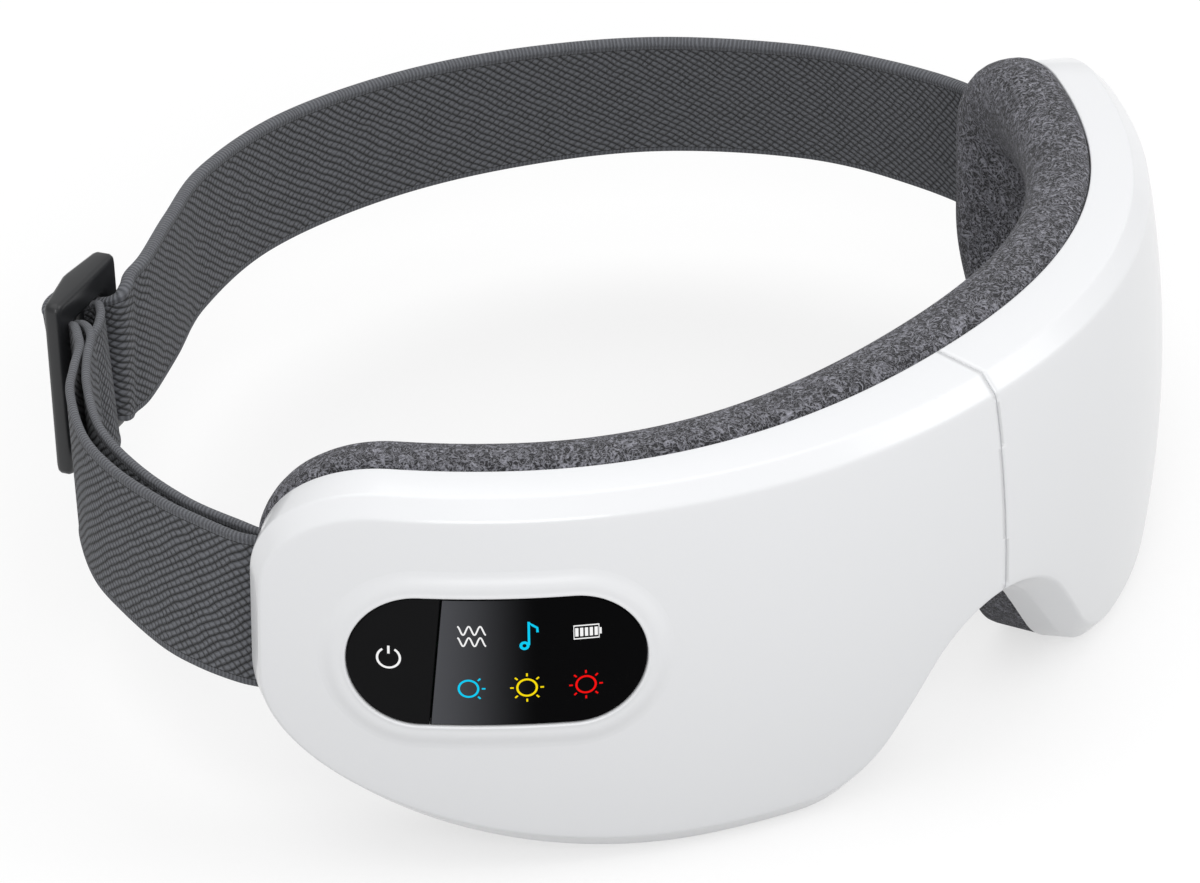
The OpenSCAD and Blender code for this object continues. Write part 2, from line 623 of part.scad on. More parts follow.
function near_bar(ds) = let (p = on_face(bar_s + ds, 0, bar_d)) [p[0], p[1] + nose_to_middle, 0];
module bar_eye() difference() {
  at(bar_s, strap_z - strap_width / 2, bar_d) cylinder(r = bar_radius + 1.15, h = strap_width);
  at(bar_s, 0, bar_d) cylinder(r = bar_radius + 0.1, h = 90);
}
module strap_long() color("#45474b") {
  bar_eye();
  band([near_bar(1.9), near_bar(8), near_bar(14.5), loop(0.975, 0.508, 4), loop(1, 0.604, 12),
    loop(0.96, 0.719, 18), loop(0.816, 0.84, 20), loop(0.612, 0.925, 17), loop(0.388, 0.976, 12),
    loop(0.143, 1, 8), loop(-0.092, 0.985, 4), by_slider(18, -4.4), by_slider(8, -4.4),
    by_slider(-12, -4.4)], 3, strap_width, strap_thick, 1);
}
function mirrored(p) = [-p[0], p[1], p[2]];
module strap_return() color("#45474b") {
  left() bar_eye();
  band([mirrored(near_bar(1.9)), mirrored(near_bar(8)), mirrored(near_bar(14.5)), loop(-0.964, 0.532, 0),
    loop(-0.944, 0.598, 0), loop(-0.878, 0.695, 0), loop(-0.776, 0.7855, 0), by_slider(-20, -0.6),
    by_slider(-12.6, 0.2)], 3, strap_width, strap_thick + 0.6, -1);
}

// Slider: an oblong frame with a middle bar
slot_length = (slider_length - 10) / 2;
module slider_slot(x) translate([x, -10, -strap_width / 2 - 0.9]) cube([slot_length, 20, strap_width + 1.8]);
module strap_slider() color("#2f3033") slider_place() difference() {
  intersection() {
    translate([0, slider_thick / 2, 0]) rotate([90, 0, 0]) linear_extrude(slider_thick) {
      square([slider_length - 5, strap_width + 8], center = true);
      square([slider_length, strap_width + 3], center = true);
      for (x = [-1, 1]) for (z = [-1, 1])
        translate([x * (slider_length / 2 - 2.5), z * (strap_width / 2 + 1.5)]) circle(r = 2.5);
    }
    // Crowned front
    translate([0, slider_thick / 2 - 60, -50]) cylinder(r = 60, h = 100, $fn = 96);
  }
  slider_slot(-slider_length / 2 + 3);
  slider_slot(slider_length / 2 - 3 - slot_length);
}

// Strap end over the middle bar of the slider
wrap_half = 3.8;
bar_half = 2.1;
module strap_wrap() color("#45474b") slider_place() translate([0, 0, -strap_width / 2])
  linear_extrude(strap_width) difference() {
    union() {
      translate([-wrap_half, -slider_thick / 2 + 0.1]) square([2 * wrap_half, slider_thick - 0.1]);
      translate([0, slider_thick / 2]) intersection() {
        circle(r = wrap_half);
        translate([-wrap_half, -0.1]) square([2 * wrap_half, 1.5]);
      }
    }
    translate([-bar_half, -slider_thick / 2 - 1]) square([2 * bar_half, slider_thick + 1.05]);
  }

front_shell_left();
front_shell_right();
rear_frame_left();
rear_frame_right();
face_pad_left();
face_pad_right();
face_pad_bridge();
display_window();
power_button();
power_switch();
display_board();
main_board();
battery();
charging_port();
speaker_left();
speaker_right();
vibration_motor_left();
vibration_motor_right();
air_bag_left();
air_bag_right();
heater_film_left();
heater_film_right();
air_pump();
pump_motor();
air_valve();
air_tube();
pump_board();
nose_cable();
strap_bar_left();
strap_bar_right();
case_screws_left();
case_screws_right();
hinge_leaf_left();
hinge_leaf_right();
hinge_pin();
hinge_screws_left();
hinge_screws_right();
strap_long();
strap_return();
strap_wrap();
strap_slider();
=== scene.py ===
import bmesh
import bpy
import math
import numpy as np
from mathutils import Matrix, Vector


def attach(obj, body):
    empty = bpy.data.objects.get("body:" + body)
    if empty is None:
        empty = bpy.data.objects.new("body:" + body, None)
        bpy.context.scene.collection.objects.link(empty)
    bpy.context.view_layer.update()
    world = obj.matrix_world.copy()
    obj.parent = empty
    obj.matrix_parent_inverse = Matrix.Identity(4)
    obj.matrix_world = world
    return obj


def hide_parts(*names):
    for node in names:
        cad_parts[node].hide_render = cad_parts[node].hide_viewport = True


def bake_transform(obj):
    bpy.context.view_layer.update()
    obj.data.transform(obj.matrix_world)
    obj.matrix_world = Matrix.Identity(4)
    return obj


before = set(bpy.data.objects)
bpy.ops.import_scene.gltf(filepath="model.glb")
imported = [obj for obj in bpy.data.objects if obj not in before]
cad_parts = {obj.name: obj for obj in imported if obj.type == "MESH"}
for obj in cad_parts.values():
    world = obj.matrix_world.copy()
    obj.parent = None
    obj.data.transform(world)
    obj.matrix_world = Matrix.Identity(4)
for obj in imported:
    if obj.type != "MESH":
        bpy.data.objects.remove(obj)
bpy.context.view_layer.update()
MM = 0.001

# Sizes in millimetres, as the CAD part has them. s runs along the face from the nose, z up from the ground
# and d from the outer face towards the wearer
HALF_ARC = 132.8
RIM_H = 68.1
WRAP = math.radians(67)
EVEN_SHARE, SQUARE_SHARE = 0.78, 0.75
BULGE = 3.0
DEPTH = 9.2
WALL = 2.2
SEAM = 0.15
CORNER_L, CORNER_H = 23.4, 17.3
LOBE_H = 34.9
FOOT_A, FOOT_B = 40.0, 56.0
LOBE_R = 24.2
ARCH_H, ARCH_R = 25.0, 17.4
FLARE = 0.8
CREASE_ARC = HALF_ARC - FLARE
SHIFT = 83.4
PANEL_S, PANEL_Z, PANEL_L, PANEL_H = 91.6, 40.0, 47.0, 23.0
STRAP_W, STRAP_Z = 28.0, 38.3

# Forms of this scene alone: how much deeper the shells' edge and the cushion are at the nose, how far along
# the face that reaches, and the height that it turns about with the half height over which it turns
NOSE_DEPTH, PAD_NOSE, NOSE_REACH = 2.2, 1.3, 85.0
LEAN_Z, LEAN_HALF = 44.0, 24.0


# Face geometry

def turn(s):
    """Angle of the face in plan at s."""
    t = np.asarray(s, float) / CREASE_ARC
    return WRAP * (EVEN_SHARE * t + SQUARE_SHARE * t * t + (1 - EVEN_SHARE - SQUARE_SHARE) * t ** 3)


# Plan line of the face, summed up in short steps
STEP, STEPS = 0.1, 1600
LINE_S = np.arange(0, STEPS + 1) * STEP
LINE_TURN = turn(LINE_S[:-1] + STEP / 2)
LINE_X = np.concatenate([[0], np.cumsum(np.cos(LINE_TURN) * STEP)])
LINE_Y = np.concatenate([[0], np.cumsum(np.sin(LINE_TURN) * STEP)])


def on_face(s, z, d, side=1):
    """Point at s along the face, height z and depth d, in metres; side -1 is the display half."""
    s, z, d = np.broadcast_arrays(np.asarray(s, float), np.asarray(z, float), np.asarray(d, float))
    a = turn(s)
    x = np.interp(s, LINE_S, LINE_X) - np.sin(a) * d
    y = np.interp(s, LINE_S, LINE_Y) + np.cos(a) * d - SHIFT
    return np.stack([side * x, y, z], -1) * MM


# Centres (s, z) of the circles of the lobe and of the nose arch, and the slope of the line that touches both
LOBE_C = (FOOT_A, LOBE_R)
ARCH_C = (0.0, ARCH_H - ARCH_R)
APART_S, APART_Z = LOBE_C[0] - ARCH_C[0], LOBE_C[1] - ARCH_C[1]
SLOPE = math.atan2(APART_Z, APART_S) + math.acos((LOBE_R + ARCH_R) / math.hypot(APART_S, APART_Z))


def top_z(s, inset):
    """Upper outline: level, then a quarter ellipse down to the temple."""
    corner_s = HALF_ARC - CORNER_L
    f = np.clip((s - corner_s) / (CORNER_L - inset), 0, 1)
    corner = RIM_H - CORNER_H + (CORNER_H - inset) * np.sqrt(1 - f * f)
    return np.where(s < corner_s, RIM_H - inset, corner)


def low_z(s, inset):
    """Lower outline: nose arch, slanted line, round of the lobe, flat foot and rise to the temple."""
    lobe_r, arch_r = LOBE_R - inset, ARCH_R + inset
    lobe_touch = (LOBE_C[0] - lobe_r * math.cos(SLOPE), LOBE_C[1] - lobe_r * math.sin(SLOPE))
    arch_touch = (ARCH_C[0] + arch_r * math.cos(SLOPE), ARCH_C[1] + arch_r * math.sin(SLOPE))
    f = np.clip((s - FOOT_B) / (HALF_ARC - FOOT_B - inset), 0, 1)
    rise = LOBE_H - (LOBE_H - inset) * np.sqrt(1 - f * f)
    lobe = LOBE_C[1] - np.sqrt(np.maximum(lobe_r ** 2 - (s - LOBE_C[0]) ** 2, 0))
    climb = (lobe_touch[1] - arch_touch[1]) * (s - arch_touch[0]) / (lobe_touch[0] - arch_touch[0])
    line = arch_touch[1] + climb
    arch = ARCH_C[1] + np.sqrt(np.maximum(arch_r ** 2 - s * s, 0))
    return np.select([s >= FOOT_B, s >= FOOT_A, s >= lobe_touch[0], s >= arch_touch[0]],
                     [rise, np.full(np.shape(s), float(inset)), lobe, line], arch)


def bulge(z):
    """Depth of the outer face, which stands out most at middle height."""
    return -BULGE * (1 - ((z - RIM_H / 2) / (RIM_H / 2 - FLARE)) ** 2)


def nose_lean(s, z):
    """Share of the nose depth: 1 at the top of the nose, -1 at its arch, fading out along the face."""
    along = np.cos(np.minimum(1, s / NOSE_REACH) * math.pi / 2) ** 2
    return along * np.clip((z - LEAN_Z) / LEAN_HALF, -1, 1)


def stations(n_nose, n_face, n_end):
    """Shares of the half length, close together at the nose arch and round the temple corner."""
    nose_end, corner_s = 21, HALF_ARC - CORNER_L
    nose = np.linspace(0, nose_end, n_nose, endpoint=False)
    face = np.linspace(nose_end, corner_s, n_face, endpoint=False)
    end = corner_s + CORNER_L * np.sin(np.linspace(0, math.pi / 2, n_end))
    return np.concatenate([nose, face, end]) / HALF_ARC


def rows(n):
    """Shares of the height, a little closer together at the edges."""
    closer = 0.055
    t = np.linspace(0, 1, n)
    return t - closer * np.sin(2 * math.pi * t)


def place(u, v, inset, start, end, lowest):
    """s and z at the shares u and v of a half's outline; its lower edge has at least the inset lowest."""
    s = start + (HALF_ARC - end - start) * u
    low = low_z(s, max(inset, lowest))
    return s, low + (top_z(s, inset) - low) * v


def rim(U, V):
    """Shares (u, v) once round the edge of a grid."""
    n, m = len(U) - 1, len(V) - 1
    points = [(U[0], V[k]) for k in range(m)]
    points += [(U[j], V[m]) for j in range(n)]
    points += [(U[n], V[k]) for k in range(m, 0, -1)]
    points += [(U[j], V[0]) for j in range(n, 0, -1)]
    return np.array(points)


def rim_index(n, m, off):
    """Numbers of the vertices once round the edge of a grid that starts at off."""
    index = [off + k for k in range(m)]
    index += [off + j * (m + 1) + m for j in range(n)]
    index += [off + n * (m + 1) + k for k in range(m, 0, -1)]
    index += [off + j * (m + 1) for j in range(n, 0, -1)]
    return np.array(index)


def layered(U, V, front, rings, back, side, keep=None, lowest=-9.0):
    """Vertices and quads of a solid from a front grid, rings and a back grid.

    A layer is (inset, start, end inset, depth function of s and z). keep(s, z) is true where the grids have
    faces."""
    n, m = len(U) - 1, len(V) - 1
    uu, vv = np.meshgrid(U, V, indexing="ij")
    around = rim(U, V)
    ring, grid = len(around), (n + 1) * (m + 1)
    last = grid + len(rings) * ring
    corner = np.add.outer(np.arange(n) * (m + 1), np.arange(m)).ravel()
    cells = np.stack([corner, corner + 1, corner + m + 2, corner + m + 1], -1)

    def points(layer, u, v):
        inset, start, end, depth = layer
        s, z = place(u, v, inset, start, end, lowest)
        return on_face(s, z, depth(s, z), side).reshape(-1, 3)

    def kept(layer):
        if keep is None:
            return cells
        s, z = place(uu, vv, *layer[:3], -np.inf)
        return cells[keep(s.ravel()[cells].mean(1), z.ravel()[cells].mean(1))]

    parts = [points(front, uu, vv)]
    parts += [points(layer, around[:, 0], around[:, 1]) for layer in rings]
    parts.append(points(back, uu, vv))
    loops = [rim_index(n, m, 0)]
    loops += [grid + r * ring + np.arange(ring) for r in range(len(rings))]
    loops.append(rim_index(n, m, last))
    faces = [kept(front), kept(back)[:, ::-1] + last]
    for p, q in zip(loops[:-1], loops[1:]):
        faces.append(np.stack([p, q, np.roll(q, -1), np.roll(p, -1)], -1))
    quads = np.concatenate(faces)
    # This order is clockwise seen from outside; Blender wants the other way, and the mirror turns it again
    return np.concatenate(parts), quads[:, ::-1] if side > 0 else quads


def mesh_object(name, verts, faces, mat, smooth=True, uv=None):
    me = bpy.data.meshes.new(name)
    me.from_pydata([tuple(p) for p in np.asarray(verts)], [], [tuple(int(i) for i in f) for f in faces])
    me.update()
    for p in me.polygons:
        p.use_smooth = smooth
    if uv is not None:
        uv_layer = me.uv_layers.new(name="UVMap")
        index = np.zeros(len(me.loops), int)
        me.loops.foreach_get("vertex_index", index)
        uv_layer.data.foreach_set("uv", np.asarray(uv, float)[index].ravel())
    me.materials.append(mat)
    ob = bpy.data.objects.new(name, me)
    bpy.context.scene.collection.objects.link(ob)
    return ob


def remesh(ob, change):
    """Change a mesh by a function of its bmesh, then turn all faces outward."""
    bm = bmesh.new()
    bm.from_mesh(ob.data)
    change(bm)
    bmesh.ops.recalc_face_normals(bm, faces=bm.faces)
    bm.to_mesh(ob.data)
    bm.free()


def tube_faces(n, m, closed=False):
    """Quads along n loops of m points each, loop by loop; closed joins the last loop to the first."""
    faces = []
    for i in range(n if closed else n - 1):
        for k in range(m):
            a, b = i * m + k, i * m + (k + 1) % m
            step = (i + 1) % n * m - i * m
            faces.append((a, b, b + step, a + step))
    return faces


# Material helpers

def lin(h):
    """Linear colour of a screen colour written as six hex digits."""
    c = [int(h[i:i + 2], 16) / 255 for i in (0, 2, 4)]
    return [x / 12.92 if x <= 0.04045 else ((x + 0.055) / 1.055) ** 2.4 for x in c] + [1.0]


def shader(m):
    return m.node_tree.nodes["Principled BSDF"]


def principled(name, colour, rough, **extra):
    m = bpy.data.materials.new(name)
    m.use_nodes = True
    shader(m).inputs["Base Color"].default_value = colour
    shader(m).inputs["Roughness"].default_value = rough
    for k, v in extra.items():
        shader(m).inputs[k].default_value = v
    return m


def node(m, kind, **values):
    """New node; each value goes to the input of that name, or else to the setting of that name."""
    n = m.node_tree.nodes.new(kind)
    for k, v in values.items():
        if k in n.inputs:
            n.inputs[k].default_value = v
        else:
            setattr(n, k, v)
    return n


def link(m, source, target):
    m.node_tree.links.new(source, target)


def maths(m, operation, *values):
    """Output of a maths node; a value is a number or another node's output."""
    n = node(m, "ShaderNodeMath", operation=operation)
    for value, target in zip(values, n.inputs):
        if isinstance(value, (int, float)):
            target.default_value = value
        else:
            link(m, value, target)
    return n.outputs[0]


def add(m, a, b):
    return maths(m, "ADD", a, b)


def less(m, a, b):
    return maths(m, "SUBTRACT", a, b)


def times(m, a, b):
    return maths(m, "MULTIPLY", a, b)


def capped(m, a, b):
    return maths(m, "MINIMUM", a, b)


def noise(m, where, scale, detail, rough, distortion=0.0):
    n = node(m, "ShaderNodeTexNoise", Scale=scale, Detail=detail, Roughness=rough, Distortion=distortion)
    link(m, where, n.inputs["Vector"])
    return n.outputs["Fac"]


def uv_place(m):
    """The UV place as a vector and as its two parts."""
    uv = node(m, "ShaderNodeUVMap", uv_map="UVMap").outputs["UV"]
    parts = node(m, "ShaderNodeSeparateXYZ")
    link(m, uv, parts.inputs["Vector"])
    return uv, parts.outputs["X"], parts.outputs["Y"]


def ramped(m, value, low, high, fade="LINEAR"):
    """Base colour that follows a value; low and high are (value, colour)."""
    ramp = node(m, "ShaderNodeValToRGB")
    ramp.color_ramp.interpolation = fade
    for stop, (at, colour) in zip(ramp.color_ramp.elements, (low, high)):
        stop.position = at
        stop.color = lin(colour)
    link(m, value, ramp.inputs["Fac"])
    link(m, ramp.outputs["Color"], shader(m).inputs["Base Color"])


def relief(m, height, distance):
    bump = node(m, "ShaderNodeBump", Strength=1.0, Distance=distance)
    link(m, height, bump.inputs["Height"])
    link(m, bump.outputs["Normal"], shader(m).inputs["Normal"])


# Materials

shell_mat = principled("shell_white", lin("eff0f2"), 0.28, **{"Coat Weight": 0.35, "Coat Roughness": 0.1})
plastic_mat = principled("slider_plastic", lin("242527"), 0.34)
cable_mat = principled("flat_cable", lin("c98f3d"), 0.45)
button_mat = principled("button_black", lin("161617"), 0.5, **{"Specular IOR Level": 0.04})


def glass():
    """Black window with a painted reflection: a grey sheen in the base colour that starts at the button's
    edge and fades along the window.
    """
    m = principled("window_black", lin("060607"), 0.2, **{"Specular IOR Level": 0.02})
    along = uv_place(m)[1]
    # Painted reflection: the base colour runs from black to grey towards the button's edge
    ramped(m, along, (0.36, "070708"), (0.76, "55565a"), "EASE")
    return m


def glow(name, colour):
    """Lit mark that shows one plain colour."""
    m = principled(name, [0, 0, 0, 1], 0.6, **{"Specular IOR Level": 0.0})
    shader(m).inputs["Emission Color"].default_value = lin(colour)
    shader(m).inputs["Emission Strength"].default_value = 1.0
    return m


def suede():
    """Short curly pile: pale worm-like curls over dark grooves, from the level lines of warped noise."""
    m = principled("pad_suede", lin("505056"), 0.95, **{"Sheen Weight": 0.15, "Sheen Roughness": 0.5})
    where = node(m, "ShaderNodeTexCoord").outputs["Object"]

    def curls(scale, distortion, width):
        off = maths(m, "ABSOLUTE", less(m, noise(m, where, scale, 1.0, 0.5, distortion), 0.5))
        return less(m, 1.0, capped(m, maths(m, "DIVIDE", off, width), 1.0))

    large = times(m, curls(500.0, 2.2, 0.085), 0.6)
    small = times(m, curls(760.0, 1.8, 0.10), 0.4)
    patches = times(m, noise(m, where, 140.0, 2.0, 0.5), 0.12)
    height = add(m, large, add(m, small, patches))
    ramped(m, height, (0.12, "232327"), (0.75, "9b9ba5"))
    relief(m, height, 0.0005)
    return m


# Width of the rolled edges of the webbing
ROLLED = 1.6


def weave():
    """Elastic webbing: puffy cells between two sets of dark grooves. UV in millimetres along and across."""
    m = principled("strap_weave", lin("3c3e42"), 0.85, **{"Sheen Weight": 0.1})
    uv, along, across = uv_place(m)
    wavy = add(m, along, times(m, less(m, noise(m, uv, 0.16, 2.0, 0.55), 0.5), 1.8))

    def grooves(slant_along, slant_across, pitch, width):
        phase = add(m, times(m, wavy, slant_along), times(m, across, slant_across))
        wave = maths(m, "ABSOLUTE", maths(m, "SINE", times(m, phase, math.pi / pitch)))
        return capped(m, maths(m, "DIVIDE", wave, width), 1.0)

    # Slanted ribs, and grooves the other way that cut them into cells, deeper in some places than in others
    ribs = grooves(0.6, 0.8, 1.2, 0.85)
    cuts = less(m, 1.0, grooves(-0.75, 0.62, 1.2, 0.75))
    cut_depth = capped(m, times(m, noise(m, uv, 0.35, 2.0, 0.6), 1.3), 0.85)
    cells = times(m, ribs, less(m, 1.0, times(m, cuts, cut_depth)))

    # Rolled edges: a dark line, then fine ribs straight across
    from_middle = maths(m, "ABSOLUTE", across)
    edge_from = STRAP_W / 2 - ROLLED
    in_edge = maths(m, "GREATER_THAN", from_middle, edge_from)
    line = maths(m, "LESS_THAN", maths(m, "ABSOLUTE", less(m, from_middle, edge_from)), 0.16)
    fine = add(m, 0.72, times(m, maths(m, "SINE", times(m, wavy, 9.0)), 0.22))
    edge = less(m, fine, times(m, line, 0.6))

    mixed = node(m, "ShaderNodeMix")
    link(m, in_edge, mixed.inputs["Factor"])
    link(m, cells, mixed.inputs["A"])
    link(m, edge, mixed.inputs["B"])
    fuzz = times(m, noise(m, uv, 3.0, 3.0, 0.7), 0.3)
    height = add(m, times(m, mixed.outputs["Result"], 0.75), fuzz)
    ramped(m, height, (0.2, "0f1012"), (0.95, "76787e"))
    relief(m, height, 0.0006)
    return m


window_mat = glass()
white_ink = glow("ink_white", "f6f6f6")
cyan_ink = glow("ink_cyan", "10cdf4")
yellow_ink = glow("ink_yellow", "fbdf10")
red_ink = glow("ink_red", "f51414")
suede_mat = suede()
weave_mat = weave()


# Shells

def fillet(points, radii, steps):
    """Path through points with rounded corners; a point is (inset, bulge share, depth, nose share)."""
    P = [np.array(p, float) for p in points]
    path = [P[0]]
    for a, b, c, r, k in zip(P[:-2], P[1:-1], P[2:], radii, steps):
        to_a = np.linalg.norm((a - b)[[0, 2]]) + 1e-9
        to_c = np.linalg.norm((c - b)[[0, 2]]) + 1e-9
        start = b + (a - b) * min(r / to_a, 0.5)
        end = b + (c - b) * min(r / to_c, 0.5)
        for t in np.linspace(0, 1, k + 1):
            path.append((1 - t) ** 2 * start + 2 * t * (1 - t) * b + t * t * end)
    path.append(P[-1])
    return path


def layer_at(point, start):
    """Layer for layered() from a point (inset, bulge share, depth, nose share)."""
    inset, out, depth, nose = point
    return inset, start, inset, lambda s, z: out * bulge(z) + depth + nose * NOSE_DEPTH * nose_lean(s, z)


def oval_distance(s, z):
    """Distance outside the display panel's oval outline, negative inside it."""
    r = PANEL_H / 2
    ds = np.maximum(np.abs(s - PANEL_S) - (PANEL_L / 2 - r), 0)
    return np.hypot(ds, z - PANEL_Z) - r


# Section of a shell from its face over the flared edge and the rim to the inside of the face
SHELL_SECTION = [(5.6, 1, 0, 0), (3.8, 1, 0, 0), (FLARE, 0, 2.2, 0), (0, 0, DEPTH, 1), (WALL, 0, DEPTH, 1),
                 (WALL, 0, 4.6, 0), (WALL + 3.2, 1, WALL, 0)]
SHELL_RADII = [0.5, 0.4, 0.35, 0.2, 1.0]
SHELL_STEPS = [5, 4, 4, 3, 3]
# How far outside the panel's outline the shell ends and the panel's surround takes over
OPENING = 1.1


def shell(side):
    """Shell of one half; the display half is open where the panel sits."""
    path = fillet(SHELL_SECTION, SHELL_RADII, SHELL_STEPS)
    rings = []
    inside = False
    for p in path[1:-1]:
        # From the inner side of the back edge on, a ring keeps clear of the half's end wall at the nose
        inside = inside or (p[0] >= WALL - 0.25 and p[2] > 4)
        rings.append(layer_at(p, SEAM + WALL if inside else SEAM))
    front, back = layer_at(path[0], SEAM), layer_at(path[-1], SEAM + WALL)
    keep = (lambda s, z: oval_distance(s, z) > OPENING) if side < 0 else None
    verts, faces = layered(stations(20, 110, 44), rows(57), front, rings, back, side, keep)
    return mesh_object("shell_display_half" if side < 0 else "shell_plain_half", verts, faces, shell_mat)


shell_left = shell(-1)
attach(shell_left, "left_half")
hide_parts("front_shell_left")
shell_right = shell(1)
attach(shell_right, "right_half")
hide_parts("front_shell_right")


# Display panel

def oval_ring(out, n=160):
    """Points (s, z) once round the panel's outline, out millimetres outside it."""
    r = PANEL_H / 2
    h = PANEL_L / 2 - r
    q = n // 4
    angles = np.linspace(-math.pi / 2, math.pi / 2, q * 2)
    points = [(PANEL_S + h + (r + out) * math.cos(a), PANEL_Z + (r + out) * math.sin(a)) for a in angles]
    points += [(PANEL_S + h - 2 * h * k / q, PANEL_Z + r + out) for k in range(1, q)]
    points += [(PANEL_S - h - (r + out) * math.cos(a), PANEL_Z - (r + out) * math.sin(a)) for a in angles]
    points += [(PANEL_S - h + 2 * h * k / q, PANEL_Z - r - out) for k in range(1, q)]
    return np.array(points)


# Section of the surround: way out from the outline, and height over the face, where minus stands out of it
SURROUND = [(0.0, 2.0), (0.0, -0.15), (0.02, -0.42), (0.10, -0.58), (0.24, -0.66), (0.42, -0.66),
            (0.60, -0.60), (0.80, -0.57), (1.1, -0.59), (1.5, -0.60), (1.9, -0.575), (2.3, -0.50),
            (2.7, -0.385), (3.1, -0.25), (3.5, -0.13), (3.9, -0.05), (4.4, -0.005), (4.8, 0.03)]


def surround():
    """Soft raised mound round the panel, with a small rounded lip and the wall of the opening."""
    verts = []
    for out, rise in SURROUND:
        s, z = oval_ring(out).T
        verts.append(on_face(s, z, bulge(z) + rise, -1))
    faces = tube_faces(len(verts), len(verts[0]))
    return mesh_object("panel_surround", np.concatenate(verts), faces, shell_mat)


surround_ob = surround()
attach(surround_ob, "left_half")

# The slanted edge between window and button, at the top and at the bottom of the oval
EDGE_TOP, EDGE_LOW = 100.1, 102.1
# Gap round window and button, their place over the face and that of their undersides
PANEL_GAP, PANEL_TOP, PANEL_BASE = 0.12, -0.30, 1.2


def edge_s(z):
    """The slanted edge between window and button at height z."""
    return EDGE_LOW + (EDGE_TOP - EDGE_LOW) * (z - (PANEL_Z - PANEL_H / 2)) / PANEL_H


def panel_piece(name, is_button, mat, n_up=40, n_along=70):
    """Slab over the part of the oval on one side of the slanted edge, with a rounded top edge."""
    levels = [(0.0, PANEL_BASE), (0.0, PANEL_TOP + 0.25), (0.06, PANEL_TOP + 0.1), (0.2, PANEL_TOP)]
    verts = []
    for inset, rise in levels:
        r = PANEL_H / 2 - PANEL_GAP - inset
        z = PANEL_Z + r * np.sin(np.linspace(-math.pi / 2, math.pi / 2, n_up))
        half = PANEL_L / 2 - PANEL_H / 2 + np.sqrt(np.maximum(r * r - (z - PANEL_Z) ** 2, 0))
        if is_button:
            a, b = edge_s(z) + PANEL_GAP / 2 + inset, PANEL_S + half
        else:
            a, b = PANEL_S - half, edge_s(z) - PANEL_GAP / 2 - inset
        low, high = np.linspace(a[0], b[0], n_along), np.linspace(b[-1], a[-1], n_along)
        loop_s = np.concatenate([low, b[1:-1], high, a[-2:0:-1]])
        loop_z = np.concatenate([np.full(n_along, z[0]), z[1:-1], np.full(n_along, z[-1]), z[-2:0:-1]])
        verts.append(on_face(loop_s, loop_z, bulge(loop_z) + rise, -1))
    faces = tube_faces(len(levels), len(verts[0]))

    # The top, from the last level's ends a and b
    start = len(levels) * len(verts[0])
    top_s = a[:, None] + (b - a)[:, None] * np.linspace(0, 1, n_along)[None, :]
    top_rows = np.broadcast_to(z[:, None], top_s.shape)
    verts.append(on_face(top_s, top_rows, bulge(top_rows) + rise, -1).reshape(-1, 3))
    for i in range(n_up - 1):
        for j in range(n_along - 1):
            p = start + i * n_along + j
            faces.append((p, p + 1, p + 1 + n_along, p + n_along))
    verts = np.concatenate(verts)
    uv = np.zeros((len(verts), 2))
    uv[start:, 0] = (top_s.ravel() - PANEL_S) / PANEL_L + 0.5
    uv[start:, 1] = (top_rows.ravel() - PANEL_Z) / PANEL_H + 0.5
    return mesh_object(name, verts, faces, mat, uv=uv)


window = panel_piece("display_glass", False, window_mat)
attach(window, "left_half")
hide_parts("display_window")
button = panel_piece("power_key", True, button_mat)
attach(button, "power_button")
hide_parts("power_button")


# Marks on the panel

# Place of the marks over the face, just above window and button
INK_TOP = PANEL_TOP - 0.03


def ink_strip(points, width, closed):
    """Flat band along points (s, z), as vertices and quads."""
    P = np.array(points, float)
    n = len(P)
    verts, faces = [], []
    for i in range(n):
        a = P[(i - 1) % n] if closed or i > 0 else P[i]
        b = P[(i + 1) % n] if closed or i < n - 1 else P[i]
        along = b - a
        along /= np.linalg.norm(along) + 1e-9
        across = np.array([-along[1], along[0]]) * width / 2
        verts += [P[i] + across, P[i] - across]
    for i in range(n if closed else n - 1):
        a, b = 2 * i, 2 * ((i + 1) % n)
        faces.append((a, b, b + 1, a + 1))
    return verts, faces


def ink(name, strips, mat, body):
    """One mark from strips (points, width, closed)."""
    verts, faces = [], []
    for strip in strips:
        v, f = ink_strip(*strip)
        off = len(verts)
        verts += v
        faces += [tuple(i + off for i in quad) for quad in f]
    s, z = np.array(verts).T
    ob = mesh_object(name, on_face(s, z, bulge(z) + INK_TOP, -1), faces, mat, smooth=False)
    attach(ob, body)
    return ob


def at_mark(middle, points):
    """Points (right, up) from a mark's middle as (s, z); on the display half s grows to the left."""
    return [(middle[0] - x, middle[1] + y) for x, y in points]


def circle(middle, r, n=40):
    angles = np.radians(np.linspace(0, 360, n, endpoint=False))
    return [(middle[0] + r * math.cos(a), middle[1] + r * math.sin(a)) for a in angles]


def power_mark(middle, r=1.78, half_gap=32):
    arc = [(math.sin(math.radians(a)) * r, math.cos(math.radians(a)) * r)
           for a in np.linspace(half_gap, 360 - half_gap, 40)]
    stroke = [(0, 0.75), (0, 2.15)]
    ink("mark_power", [(at_mark(middle, arc), 0.36, False), (at_mark(middle, stroke), 0.38, False)],
        white_ink, "power_button")


def waves_mark(s, heights, width=4.4, height=1.5, humps=2.5):
    x = np.linspace(-width / 2, width / 2, 49)
    y = height / 2 * np.cos((x / width + 0.5) * 2 * math.pi * humps)
    ink("mark_waves", [(at_mark((s, z), zip(x, y)), 0.26, False) for z in heights], white_ink, "left_half")


